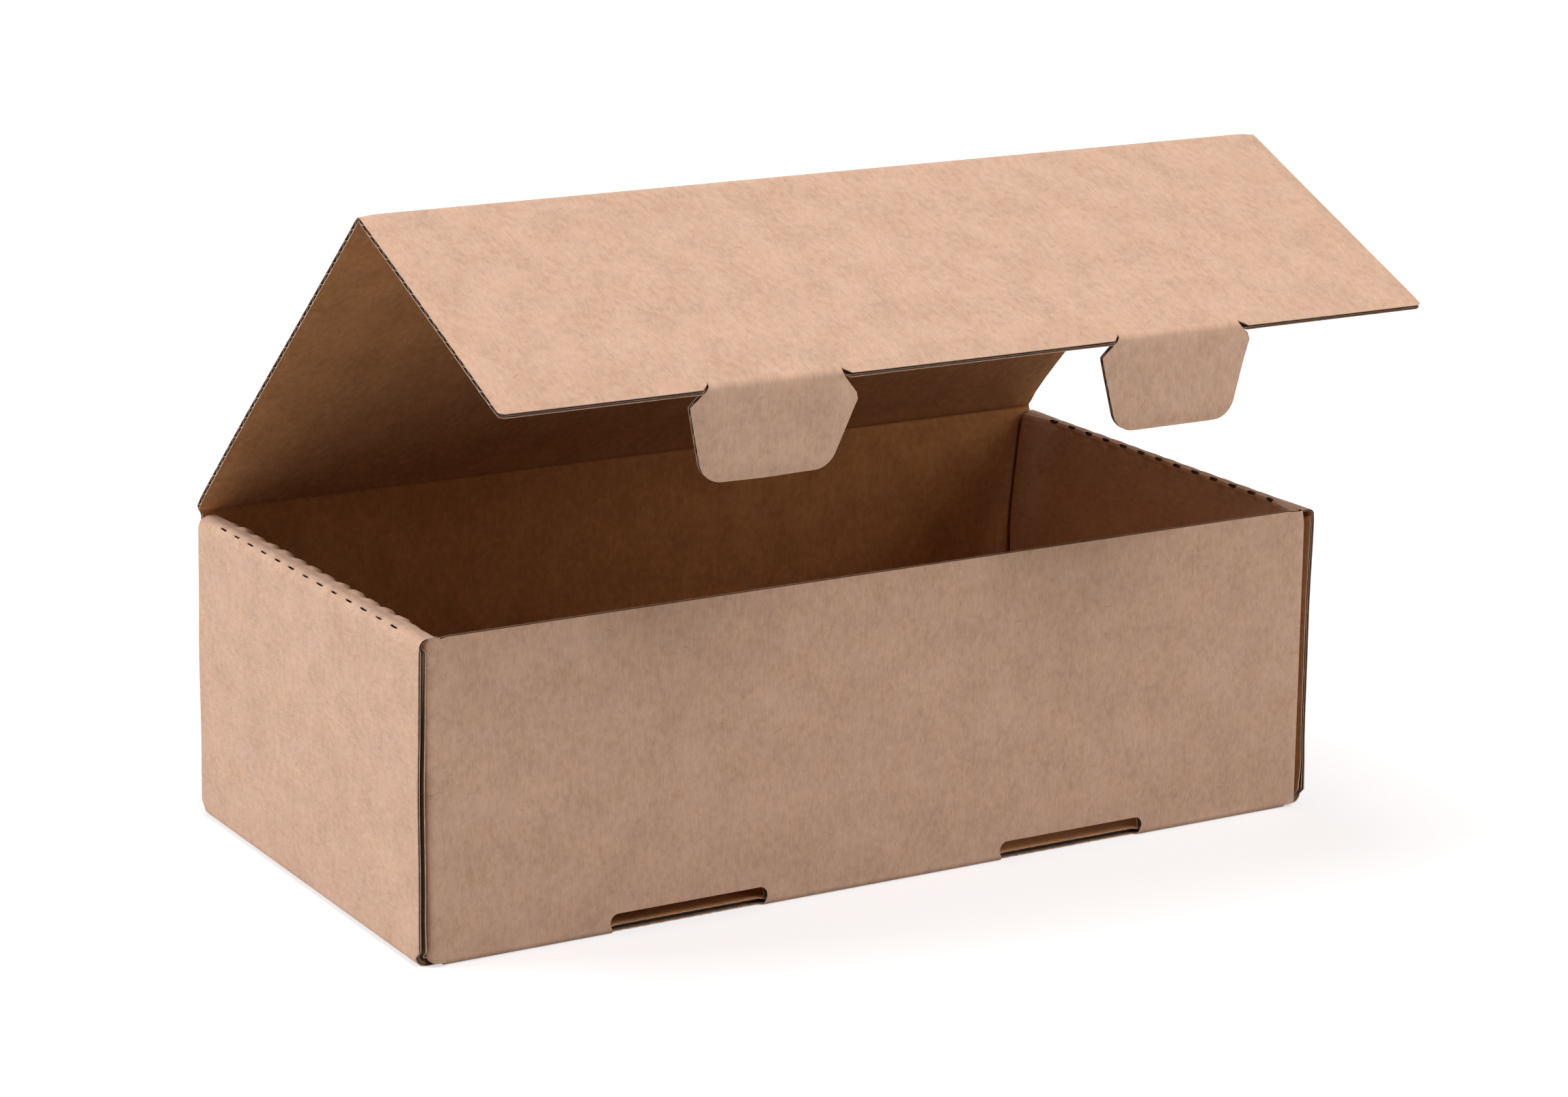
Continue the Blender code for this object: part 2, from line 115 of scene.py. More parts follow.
class FoldPath:
    """A line folded with round corners, measured by arc length."""

    def __init__(self, corners, radii, step=5.0):
        self.folds = []
        runs = [math.atan2(b[1] - a[1], b[0] - a[0]) for a, b in zip(corners, corners[1:])]
        head = runs[0]
        here = Vector(corners[0])
        s, u, v, heads = [0.0], [here.x], [here.y], [head]
        length = 0.0
        for i, corner in enumerate(corners[1:]):
            corner = Vector(corner)
            last = i == len(corners) - 2
            turn = 0.0 if last else math.remainder(runs[i + 1] - runs[i], 2 * math.pi)
            radius = 0.0 if last else radii[i]
            back = radius * math.tan(abs(turn) / 2)
            along = Vector((math.cos(head), math.sin(head)))
            end = corner - back * along
            length += (end - here).length
            s.append(length)
            u.append(end.x)
            v.append(end.y)
            heads.append(head)
            if last:
                break
            side = math.copysign(1, turn)
            center = end + side * radius * Vector((-along.y, along.x))
            count = max(2, int(abs(math.degrees(turn)) / step))
            self.folds.append(length + radius * abs(turn) / 2)
            for k in range(1, count + 1):
                angle = head + turn * k / count
                point = center - side * radius * Vector((-math.sin(angle), math.cos(angle)))
                s.append(length + radius * abs(turn) * k / count)
                u.append(point.x)
                v.append(point.y)
                heads.append(angle)
            length = s[-1]
            head += turn
            here = Vector((u[-1], v[-1]))
        self.length = length
        self.s, self.u, self.v, self.head = (np.array(values) for values in (s, u, v, heads))

    def at(self, s):
        return (np.interp(s, self.s, self.u), np.interp(s, self.s, self.v),
                np.interp(s, self.s, self.head))

    def find(self, axis, value, after=0.0):
        """Arc length where the path first reaches a coordinate, past a given length."""
        line = (self.u, self.v)[axis] - value
        for k in range(1, len(line)):
            if self.s[k] > after and line[k - 1] * line[k] <= 0 and line[k - 1] != line[k]:
                here = self.s[k - 1] + (self.s[k] - self.s[k - 1]) * line[k - 1] / (line[k - 1] - line[k])
                if here >= after:
                    return here
        raise ValueError("the path does not reach that coordinate")


def smooth(x):
    x = np.clip(x, 0, 1)
    return x * x * (3 - 2 * x)


def bell(x, reach):
    """1 at 0, falling to 0 on both sides."""
    return np.exp(-(x / reach) ** 2)


def wander(x, seed, wave):
    """A smooth random line of about unit height."""
    rng = np.random.default_rng(seed)
    total = np.zeros_like(x)
    for k in range(4):
        total += np.sin(2 * np.pi * x / (wave * rng.uniform(0.5, 1.8)) + rng.uniform(0, 6.28)) / 2
    return total


# ------------------------------------------------------------- flat outlines

def rows_between(marks, step, fine=(), fine_step=None):
    """Row positions: every mark, and even steps between them, finer near folds."""
    marks = sorted(set(round(m, 7) for m in marks))
    rows = []
    for a, b in zip(marks, marks[1:]):
        middle = (a + b) / 2
        near = any(low <= middle <= high for low, high in fine)
        count = max(1, math.ceil((b - a) / (fine_step if near else step) - 1e-6))
        rows += [a + (b - a) * k / count for k in range(count)]
    rows.append(marks[-1])
    return np.array(rows)


def columns(rows, anchors, counts):
    """Column positions for every row.  Each anchor is a number or one value a row."""
    lines = [np.broadcast_to(np.asarray(a, float), rows.shape) for a in anchors]
    parts, spans = [], []
    for k, (a, b) in enumerate(zip(lines, lines[1:])):
        steps = np.arange(counts[k]) / counts[k]
        parts.append(a[:, None] + (b - a)[:, None] * steps[None, :])
        spans += [k] * counts[k]
    parts.append(lines[-1][:, None])
    return np.concatenate(parts, axis=1), np.array(spans)


def full_grid(rows, anchors, counts):
    """Points and cells of a piece of board without cut-outs."""
    T, spans = columns(rows, anchors, counts)
    S = np.repeat(rows[:, None], T.shape[1], axis=1)
    return S, T, np.ones((len(rows) - 1, len(spans)), bool)


def weld(S, T, keep):
    """Flat points and faces of a grid of cells, with points that coincide made one."""
    key = np.round(np.stack([S, T], -1).reshape(-1, 2) / 1e-7).astype(np.int64)
    _, first, ids = np.unique(key, axis=0, return_index=True, return_inverse=True)
    ids = ids.reshape(S.shape)
    faces = []
    for i, j in zip(*np.nonzero(keep)):
        loop = [int(v) for v in (ids[i, j], ids[i + 1, j], ids[i + 1, j + 1], ids[i, j + 1])]
        loop = [v for k, v in enumerate(loop) if v != loop[k - 1]]
        if len(loop) > 2:
            faces.append(loop)
    return S.ravel()[first], T.ravel()[first], faces


class Board:
    """Collects the closed bodies of one board: liners and medium."""

    def __init__(self):
        self.verts, self.faces, self.slots, self.uvs, self.folds = [], [], [], [], []

    def add(self, S, T, keep, place, low, high, slots, uv, fold):
        """A closed slab between two offsets from the middle of the sheet."""
        s, t, cells = weld(S, T, keep)
        n = len(s)
        base = sum(len(v) for v in self.verts)
        top, bottom = place(s, t, high(s, t)), place(s, t, low(s, t))
        edges = set()
        for loop in cells:
            for a, b in zip(loop, loop[1:] + loop[:1]):
                edges.add((a, b))
        polys = [list(loop) for loop in cells]
        marks = [slots[0]] * len(cells)
        polys += [[v + n for v in reversed(loop)] for loop in cells]
        marks += [slots[1]] * len(cells)
        for a, b in edges:
            if (b, a) not in edges:
                polys.append([b, a, a + n, b + n])
                marks.append(slots[2])
        points = np.concatenate([top, bottom])
        # the faces have to point outwards
        volume = 0.0
        for loop in polys:
            a = points[loop[0]]
            for k in range(1, len(loop) - 1):
                volume += np.dot(a, np.cross(points[loop[k]], points[loop[k + 1]]))
        if volume < 0:
            polys = [loop[::-1] for loop in polys]
        used = np.zeros(len(points), bool)
        for loop in polys:
            used[loop] = True
        order = np.cumsum(used) - 1
        flat_u, flat_v = uv(s, t)
        self.verts.append(points[used])
        self.uvs.append(np.stack([np.tile(flat_u, 2), np.tile(flat_v, 2)], 1)[used])
        self.folds.append(np.tile(fold(s, t), 2)[used])
        self.faces += [[base + int(order[v]) for v in loop] for loop in polys]
        self.slots += marks

    def finish(self, name, materials):
        verts, uvs = np.concatenate(self.verts), np.concatenate(self.uvs)
        mesh = bpy.data.meshes.new(name)
        mesh.from_pydata(verts.tolist(), [], self.faces)
        for material in materials:
            mesh.materials.append(material)
        mesh.polygons.foreach_set("material_index", self.slots)
        loops = np.zeros(len(mesh.loops), np.int32)
        mesh.loops.foreach_get("vertex_index", loops)
        layer = mesh.uv_layers.new(name="Sheet")
        layer.data.foreach_set("uv", uvs[loops].astype(np.float32).ravel())
        wear = mesh.attributes.new("fold", 'FLOAT', 'POINT')
        wear.data.foreach_set("value", np.concatenate(self.folds).astype(np.float32))
        mesh.polygons.foreach_set("use_smooth", [True] * len(mesh.polygons))
        mesh.set_sharp_from_angle(angle=math.radians(38))
        mesh.update()
        obj = bpy.data.objects.new(name, mesh)
        bpy.context.scene.collection.objects.link(obj)
        return obj


OUTER, INNER, EDGE, CORE = range(4)       # places in BOARD_MATERIALS


def make_board(name, grid, place, wave, uv, fold, crossing=0.0):
    """Two liners and the medium between them.  grid(medium) gives the cells of either,
    wave is 's' or 't', the direction across the flutes, and the medium crosses the
    middle of the board at crossing."""
    board = Board()
    liner, medium = grid(False), grid(True)
    swing = HALF - LINER - MEDIUM / 2

    def flat(value):
        return lambda s, t: np.full_like(s, value)

    def fluted(shift):
        return lambda s, t: swing * np.sin(2 * np.pi * ((s if wave == "s" else t) - crossing) / PITCH) + shift

    board.add(*liner, place, flat(HALF - LINER), flat(HALF), (OUTER, CORE, EDGE), uv, fold)
    board.add(*liner, place, flat(-HALF), flat(-HALF + LINER), (CORE, INNER, EDGE), uv, fold)
    board.add(*medium, place, fluted(-MEDIUM / 2), fluted(MEDIUM / 2), (CORE, CORE, EDGE), uv, fold)
    return board.finish(name, BOARD_MATERIALS)


# ----------------------------------------------------------------- materials

def set_inputs(tree, node, inputs):
    """Gives some of a node's inputs, by name or place, a value or another node's output."""
    for key, value in dict(inputs).items():
        if isinstance(value, bpy.types.NodeSocket):
            tree.links.new(value, node.inputs[key])
        else:
            node.inputs[key].default_value = value


def add_node(tree, kind, inputs=(), **settings):
    made = tree.nodes.new(kind)
    for key, value in settings.items():
        setattr(made, key, value)
    set_inputs(tree, made, inputs)
    return made


def math_node(tree, operation, *values):
    return add_node(tree, "ShaderNodeMath", enumerate(values), operation=operation).outputs[0]


def weighted_sum(tree, base, *terms):
    """base plus every socket times its weight."""
    total = None
    for socket, weight in terms:
        term = math_node(tree, 'MULTIPLY', socket, weight)
        total = term if total is None else math_node(tree, 'ADD', total, term)
    return math_node(tree, 'ADD', total, base) if base else total


def sheet_noise(tree, coords, stretch, detail, rough, offset):
    """Centred noise over the sheet; stretch gives the size of its features in mm."""
    mapping = add_node(tree, "ShaderNodeMapping", {
        "Vector": coords, "Scale": (1000 / stretch[0], 1000 / stretch[1], 1),
        "Location": (offset, offset * 0.7, offset * 1.3)})
    noise = add_node(tree, "ShaderNodeTexNoise", {
        "Vector": mapping.outputs[0], "Scale": 1.0, "Detail": detail, "Roughness": rough})
    return math_node(tree, 'SUBTRACT', noise.outputs["Fac"], 0.5)


def specks(tree, coords, cell, length, width, share, offset):
    """Mask of short fibres lying every way: one in some cells of a random pattern."""
    mapping = add_node(tree, "ShaderNodeMapping", {
        "Vector": coords, "Scale": (1000 / cell, 1000 / cell, 0), "Location": (offset, offset * 1.7, 0)}).outputs[0]
    cells = add_node(tree, "ShaderNodeTexVoronoi", {"Vector": mapping, "Scale": 1.0}, voronoi_dimensions='2D')
    local = add_node(tree, "ShaderNodeVectorMath", {0: mapping, 1: cells.outputs["Position"]}, operation='SUBTRACT')
    pick = add_node(tree, "ShaderNodeSeparateColor", {0: cells.outputs["Color"]}).outputs
    angle = math_node(tree, 'MULTIPLY', pick[0], 2 * math.pi)
    turn = add_node(tree, "ShaderNodeVectorRotate", {"Vector": local.outputs[0], "Angle": angle},
                    rotation_type='Z_AXIS')
    shape = add_node(tree, "ShaderNodeVectorMath", {0: turn.outputs[0], 1: (2 * cell / length, 2 * cell / width, 0)},
                     operation='MULTIPLY')
    size = add_node(tree, "ShaderNodeVectorMath", {0: shape.outputs[0]}, operation='LENGTH')
    # fibres differ in length: the distance grows with the cell's second value
    far = math_node(tree, 'MULTIPLY', size.outputs["Value"], weighted_sum(tree, 0.7, (pick[1], 2.0)))
    inside = map_range(tree, far, (0.5, 1.3), (1.0, 0.0))
    return math_node(tree, 'MULTIPLY', inside, math_node(tree, 'LESS_THAN', pick[2], share))


def map_range(tree, value, source, target):
    """value eased from one range of numbers to another."""
    return add_node(tree, "ShaderNodeMapRange", {
        "Value": value, "From Min": source[0], "From Max": source[1], "To Min": target[0], "To Max": target[1]},
        interpolation_type='SMOOTHSTEP').outputs[0]


def mix_color(tree, factor, a, b, blend='MIX'):
    a, b = ((*color, 1) if isinstance(color, tuple) else color for color in (a, b))
    return add_node(tree, "ShaderNodeMix", {"Factor": factor, 6: a, 7: b}, data_type='RGBA',
                    blend_type=blend).outputs[2]


def kraft(name, dark, light, speck, rough, mottle, grain, seed=0.0, gloss=0.22):
    """Uncoated kraft paper: cloudy fibres, fine grain along the sheet, dark shives
    and pale fibres, rubbed a little paler along the folds.  mottle and grain scale
    the contrast of the clouds and of the fine grain."""
    material = bpy.data.materials.new(name)
    material.use_nodes = True
    tree = material.node_tree
    coords = add_node(tree, "ShaderNodeUVMap", uv_map="Sheet").outputs["UV"]
    cloud = sheet_noise(tree, coords, (13, 17), 3.0, 0.55, 3.1 + seed)
    blotch = sheet_noise(tree, coords, (2.4, 3.4), 4.0, 0.6, 7.7 + seed)
    fibre = sheet_noise(tree, coords, (0.42, 2.6), 3.0, 0.6, 1.9 + seed)
    tooth = sheet_noise(tree, coords, (0.22, 0.3), 2.0, 0.5, 5.3 + seed)
    tone = weighted_sum(tree, 0.5, (cloud, 1.1 * mottle), (blotch, 1.35 * mottle), (fibre, 0.9 * grain),
                        (tooth, 0.6 * grain))
    color = mix_color(tree, tone, dark, light)
    # warmer and greyer clouds
    hue = weighted_sum(tree, 0.5, (sheet_noise(tree, coords, (8, 10), 3.0, 0.6, 11.0 + seed), 2.2))
    tint = mix_color(tree, hue, (0.985, 1.0, 1.03), (1.015, 0.99, 0.95))
    color = mix_color(tree, 1.0, color, tint, 'MULTIPLY')
    long_dark = specks(tree, coords, 9.0, 2.6, 0.17, 0.5, 2.0 + seed)
    short_dark = specks(tree, coords, 3.6, 0.75, 0.16, 0.42, 8.0 + seed)
    pale = specks(tree, coords, 4.4, 1.5, 0.13, 0.5, 15.0 + seed)
    color = mix_color(tree, weighted_sum(tree, 0, (long_dark, 0.5), (short_dark, 0.36)), color, speck)
    color = mix_color(tree, math_node(tree, 'MULTIPLY', pale, 0.22), color, tuple(1.25 * c for c in light))
    worn = add_node(tree, "ShaderNodeAttribute", attribute_name="fold")
    rub = math_node(tree, 'MULTIPLY', worn.outputs["Fac"], weighted_sum(tree, 0.5, (blotch, 1.6)))
    color = mix_color(tree, math_node(tree, 'MULTIPLY', rub, 0.22), color, tuple(1.12 * c for c in light))
    height = weighted_sum(tree, 0, (fibre, 0.6), (tooth, 0.5), (blotch, 1.0))
    bump = add_node(tree, "ShaderNodeBump", {"Strength": 0.35, "Distance": 0.00012, "Height": height})
    set_inputs(tree, tree.nodes["Principled BSDF"], {
        "Base Color": color, "Normal": bump.outputs[0], "Roughness": weighted_sum(tree, rough, (fibre, 0.12)),
        "Specular IOR Level": gloss, "Sheen Weight": 0.06, "Sheen Roughness": 0.6})
    return material


BOARD_MATERIALS = (
    kraft("kraft_outer_liner", (0.50, 0.325, 0.222), (0.665, 0.448, 0.318), (0.19, 0.105, 0.06), 0.9, 1.15, 1.4),
    # the inner liner is darker and more saturated than the outer one: partly the paper's own darker inside, partly
    # painted shade for the box's dark inside
    kraft("kraft_inner_liner_painted_shade", (0.38, 0.175, 0.065), (0.52, 0.25, 0.098), (0.13, 0.055, 0.02), 0.92, 1.5, 1.3,
          seed=20.0, gloss=0.08),
    kraft("kraft_cut_edge", (0.42, 0.29, 0.21), (0.72, 0.53, 0.41), (0.25, 0.15, 0.1), 0.95, 1.5, 1.6, seed=40.0),
    kraft("kraft_medium", (0.17, 0.1, 0.055), (0.27, 0.17, 0.105), (0.08, 0.04, 0.02), 0.95, 1.4, 1.0, seed=60.0),
)


# --------------------------------------------------- main strip: front to lid

def direction(angle):
    return math.cos(math.radians(angle)), math.sin(math.radians(angle))


LID_DIR = direction(180 - LID_OPEN)
FLAP_DIR = direction(180 - LID_OPEN + FLAP_FOLD)
RIDGE = (LID_AXIS[0] + LID_LENGTH * LID_DIR[0], LID_AXIS[1] + LID_LENGTH * LID_DIR[1])
TAB_AXIS = (RIDGE[0] + TAB_DROP * FLAP_DIR[0], RIDGE[1] + TAB_DROP * FLAP_DIR[1])


def strip_path(last_fold):
    tab_dir = direction(180 - LID_OPEN + FLAP_FOLD + last_fold)
    end = (TAB_AXIS[0] + 60 * MM * tab_dir[0], TAB_AXIS[1] + 60 * MM * tab_dir[1])
    corners = [(FRONT_Y, FRONT_H), (FRONT_Y, HALF), (BACK_Y, HALF), LID_AXIS, RIDGE, TAB_AXIS, end]
    return FoldPath(corners, [0.6 * MM, 0.6 * MM, 3.4 * MM, 1.6 * MM, 1.3 * MM])


PATHS = {name: strip_path(fold) for name, fold in TAB_FOLDS.items()}
PATHS["flap_edge"] = strip_path(0.0)          # the flap runs on straight beside its tabs
MAIN = PATHS["tab_left"]
S_FRONT_FOLD, S_BACK_FOLD, S_HINGE, S_RIDGE, S_TAB = MAIN.folds


def no_change(s, t):
    return np.zeros_like(s)


def main_place(path, lift, pinch, skew=no_change):
    """Folds the main strip in the YZ plane.  The board is crushed at its creases and
    pressed thinner where the die cut it."""
    def place(s, t, w):
        y, z, head = path.at(s)
        press = np.ones_like(s)
        for crease in (S_HINGE, S_RIDGE, S_TAB):
            press -= 0.42 * bell(s - crease, 1.7 * MM)
        # the inner liner is pressed in, the outer one keeps its line
        thin = press.copy()
        for fold in (S_FRONT_FOLD, S_BACK_FOLD):
            thin -= 0.6 * bell(s - fold, 1.5 * MM)
        offset = np.where(w < 0, w * thin, w * (0.65 + 0.35 * press))
        offset = offset * (1 - 0.4 * pinch(s, t)) + lift(s, t)
        return np.stack([t + skew(s, t), y + np.sin(head) * offset, z - np.cos(head) * offset], 1)

    return place


def by_edge(distance, reach=3.2 * MM):
    """1 at a cut edge, falling to 0 over the reach of the die's rubber."""
    return bell(np.maximum(distance, 0), reach)


def sheet_uv(s, t):
    return t, s


def near(marks, reach=2.5 * MM):
    """How close a point is to a fold, from 0 to 1."""
    def fold(s, t):
        value = np.zeros_like(s)
        for mark in marks:
            value = np.maximum(value, bell(s - mark, reach))
        return value
    return fold


main_fold = near(MAIN.folds)
FLOOR_FOLDS = [(mark - 3.2 * MM, mark + 3.2 * MM) for mark in (S_FRONT_FOLD, S_BACK_FOLD)]


def wavy_rows(marks):
    """Rows fine enough for the waves of the medium."""
    return rows_between(marks, PITCH / 9)


def from_tab(t):
    """Distance along the front from the middle of the nearest tab or slot."""
    return np.min([np.abs(t - x) for x in TAB_XS.values()], axis=0)


def shoulder_drop(t):
    """How far the front wall's top edge lies below its highest line: a little more at
    the left, and where the rolls lie on it."""
    slope = 0.25 * MM * (1 - t / WALL_SEAM_X)
    return slope + SHOULDER_DROP * smooth((np.abs(t) - 160.4 * MM) / (2.0 * MM))


def slot_half(s, top, end):
    """Half width of a tab slot, with its corners rounded at the top and in the fold."""
    upper = np.clip(1 - (s - top) / SLOT_R, 0, 1)
    lower = np.clip(1 - (end - s) / SLOT_R, 0, 1)
    return SLOT_HALF - SLOT_R * (1 - np.sqrt(1 - upper ** 2)) - SLOT_FOLD_R * (1 - np.sqrt(1 - lower ** 2))


def tray_grid(medium):
    slot_top = MAIN.find(1, SLOT_TOP_Z)
    slot_end = S_FRONT_FOLD + SLOT_PAST_FOLD
    floor_start = MAIN.find(0, -FOOT_END, after=S_FRONT_FOLD)
    floor_end = MAIN.find(0, FOOT_END, after=floor_start)
    top_end = S_HINGE - CREASE
    wide_from = MAIN.find(1, UNDER_ROLL_Z, after=floor_end)
    crush = 0.35 * MM if medium else 0.0
    marks = [crush, 6 * MM, floor_start, floor_end, wide_from, wide_from + 0.5 * MM, top_end]
    slot_top, slot_end = slot_top - crush, slot_end + crush
    turn = [SLOT_R * (1 - math.cos(math.radians(a))) for a in (0, 14, 28, 45, 65, 90)]
    marks += [slot_top + d for d in turn] + [slot_end - d for d in turn]
    rows = wavy_rows(marks) if medium else rows_between(marks, 9 * MM, FLOOR_FOLDS, 0.35 * MM)
    half = slot_half(np.clip(rows, slot_top, slot_end), slot_top, slot_end) + crush
    # behind the rolls the back wall is wider than between its corner flaps
    wall_end = np.where(rows > wide_from + 0.4 * MM, HINGE_HALF - crush, WALL_SEAM_X)
    left, right = TAB_XS.values()
    anchors = [-wall_end, -SHOULDER_X, -SEAM_X, left - half, left + half, right - half, right + half, SEAM_X,
               SHOULDER_X, wall_end]
    counts = [2, 1, 2, 8, 3, 8, 2, 1, 2] if medium else [4, 2, 6, 40, 8, 40, 6, 2, 4]
    T, spans = columns(rows, anchors, counts)
    S = rows[:, None] + shoulder_drop(T) * np.clip(1 - rows / (6 * MM), 0, 1)[:, None]
    # the cut through the fold is a little torn
    torn = 0.1 * MM * wander(T, 12, 0.004) * smooth((SLOT_HALF - from_tab(T)) / (3 * MM))
    S = S + torn * bell(rows - slot_end, 0.5 * MM)[:, None]
    s_mid = (rows[:-1] + rows[1:]) / 2
    keep = np.ones((len(s_mid), len(spans)), bool)
    in_slot = (s_mid > slot_top) & (s_mid < slot_end)
    keep[np.ix_(in_slot, np.isin(spans, (3, 5)))] = False
    floor = (s_mid > floor_start) & (s_mid < floor_end)
    keep[np.ix_(floor, np.isin(spans, (0, 1, 7, 8)))] = False
    return S, T, keep


EDGE_COLUMNS = (0, 0.8 * MM, 2.0 * MM, 3.6 * MM, 6 * MM)      # finer columns where the board is pinched


def with_edges(side, medium):
    """Anchors from one side edge to the other, finer towards both."""
    inset = [side - d - (0.1 * MM if medium and not d else 0) for d in EDGE_COLUMNS]
    return [-v for v in inset], inset[::-1]


def lid_grid(medium):
    marks = [S_HINGE + CREASE, S_HINGE + 9 * MM, S_RIDGE - CREASE]
    rows = wavy_rows(marks) if medium else rows_between(marks, 9 * MM, [(marks[0], marks[1])], 0.8 * MM)
    left, right = with_edges(LID_HALF, medium)
    return full_grid(rows, [*left, *right], [1] * 4 + [8 if medium else 30] + [1] * 4)


def lid_lift(s, t):
    """The lid bows out, more at its right, and its left corner is buckled at the hinge."""
    reach = smooth((s - S_HINGE) / (30 * MM)) * smooth((S_RIDGE - s) / (30 * MM))
    along = np.clip((s - S_HINGE - MM) / (S_RIDGE - S_HINGE - 4 * MM), 0, 1)
    arch = np.sin(np.pi * along ** 0.62) * smooth((s - S_HINGE - MM) / (9 * MM))
    bow = reach * 0.3 * MM * wander(t, 4, 0.16) * np.cos((s - S_HINGE) * 9)
    bow = bow + arch * (1.5 * MM + 1.1 * MM * t / LID_HALF)
    line = S_HINGE + 3.2 * MM - 0.16 * (t + 166 * MM)
    buckle = bell(s - line, 1.3 * MM) * bell(t + 164 * MM, 7 * MM)
    return bow - 0.45 * MM * buckle


def lid_skew(s, t):
    """The lid's hinge end sits a little to the left."""
    return -1.8 * MM * smooth((S_RIDGE - s) / (170 * MM)) * smooth((s - S_HINGE + 3 * MM) / (6 * MM))


def flap_lift(s, t):
    """The flap is a little uneven."""
    reach = smooth((s - S_RIDGE) / (30 * MM)) * smooth((S_TAB - s) / (25 * MM))
    return reach * 0.3 * MM * wander(t, 9, 0.2)


def front_lift(s, t):
    """The front and back walls bow in a little between their corners."""
    front = smooth((S_FRONT_FOLD - 6 * MM - s) / (50 * MM))
    back = smooth((s - S_BACK_FOLD - 6 * MM) / (50 * MM)) * smooth((S_HINGE - 6 * MM - s) / (25 * MM))
    return -0.35 * MM * (front + back) * (1 - (t / WALL_SEAM_X) ** 2)


def tray_pinch(s, t):
    return np.maximum(by_edge(s), lid_pinch(s, t))


def lid_pinch(s, t):
    return by_edge(LID_HALF - np.abs(t)) * smooth((s - S_HINGE + 7 * MM) / (3 * MM))


tray_board = make_board("tray_sheet", tray_grid, main_place(MAIN, front_lift, tray_pinch), "s", sheet_uv, main_fold)
lid_board = make_board("lid_sheet", lid_grid, main_place(MAIN, lid_lift, lid_pinch, lid_skew), "s", sheet_uv,
                       main_fold, S_RIDGE - CREASE)


FLAP_END = S_TAB + FLAP_LENGTH - TAB_DROP


def flap_grid(medium):
    """The flap, with a notch beside the neck of each tab."""
    notch = S_TAB - TAB_CREASE[0]
    end = FLAP_END - (0.4 * MM if medium else 0)
    marks = [S_RIDGE + CREASE, notch, S_TAB, end]
    rows = wavy_rows(marks) if medium else rows_between(marks, 9 * MM, [(notch - 4 * MM, end)], 0.6 * MM)
    # half width of the notches, narrow at the tab's neck and wider below it
    half = np.interp(rows, [notch, S_TAB, S_TAB + 3.0 * MM], [23.35 * MM, 23.6 * MM, 26.6 * MM])
    few = 2 if medium else 8
    # the lower corners are rounded a little
    corner = 1.8 * MM * (1 - np.sqrt(1 - np.clip((rows - end) / (1.8 * MM) + 1, 0, 1) ** 2))
    left, right = with_edges(LID_HALF, medium)
    share = [1 - d / (6 * MM) for d in EDGE_COLUMNS]
    left = [v + corner * k for v, k in zip(left, share)]
    right = [v - corner * k for v, k in zip(right, share[::-1])]
    tab_left, tab_right = TAB_XS.values()
    S, T, keep = full_grid(
        rows, [*left, tab_left - half, tab_left + half, tab_right - half, tab_right + half, *right],
        [1] * 4 + [few] * 5 + [1] * 4)
    s_mid = (rows[:-1] + rows[1:]) / 2
    for first in (4 + few, 4 + 3 * few):
        keep[s_mid > notch, first:first + few] = False
    return S, T, keep


def flap_pinch(s, t):
    beside = 1 - smooth((27 * MM - from_tab(t)) / (4 * MM))
    return np.maximum(by_edge(LID_HALF - np.abs(t)), by_edge(FLAP_END - s, 2.4 * MM) * beside)


flap_board = make_board("front_flap_sheet", flap_grid, main_place(PATHS["flap_edge"], flap_lift, flap_pinch), "s",
                        sheet_uv, near(MAIN.folds[:4]), FLAP_END)


# ---------------------------------------------------------------------- tabs

NECK = 23.3           # half width of a tab at its crease
TAB_SIDES = {          # shoulder, start of the corner and its radius, in mm from the crease's middle
    ("tab_left", -1): ((29.2, 5.6), (24.4, 24.9), 8.4),
    ("tab_left", 1): ((30.0, 8.0), (22.9, 26.0), 7.6),
    ("tab_right", -1): ((29.2, 5.6), (23.7, 25.1), 8.2),
    ("tab_right", 1): ((28.2, 3.5), (22.9, 26.2), 7.8),
}


def tab_outline(name, side):
    """Distances from a tab's crease and its half widths there, in mm: neck, shoulder,
    taper and a round corner."""
    shoulder, tip, radius = TAB_SIDES[name, side]
    length = TAB_LENGTH / MM
    out, down = shoulder[0] - NECK, shoulder[1]
    points = [(NECK, 0.0), (NECK + 0.46 * out, 0.46 * down), (NECK + 0.86 * out, 0.87 * down),
              (NECK + 0.98 * out, 1.02 * down)]
    slope = (tip[0] - shoulder[0]) / (tip[1] - shoulder[1])
    points.append((shoulder[0] + slope * 1.2, shoulder[1] + 1.2))
    corner_x = shoulder[0] + slope * (length - shoulder[1])
    turn = math.pi / 2 - math.atan(-slope)
    back = radius * math.tan(turn / 2)
    run = math.hypot(slope, 1)
    start = (corner_x - slope * back / run, length - back / run)
    center = (start[0] - radius / run, start[1] + radius * slope / run)
    for k in range(13):
        angle = turn * k / 12 + math.atan(-slope)
        points.append((center[0] + radius * math.cos(angle), center[1] + radius * math.sin(angle)))
    widths, depths = zip(*points)
    return depths, widths


def tab_edges(name, s, medium=False):
    """Left and right edges of a tab; its medium lies back a little."""
    past = np.maximum(s - S_TAB, 0) / MM
    left, right = (np.interp(past, *tab_outline(name, side)) * MM for side in (-1, 1))
    trim = 0.12 * MM if medium else 0
    return TAB_XS[name] - left + trim, TAB_XS[name] + right - trim


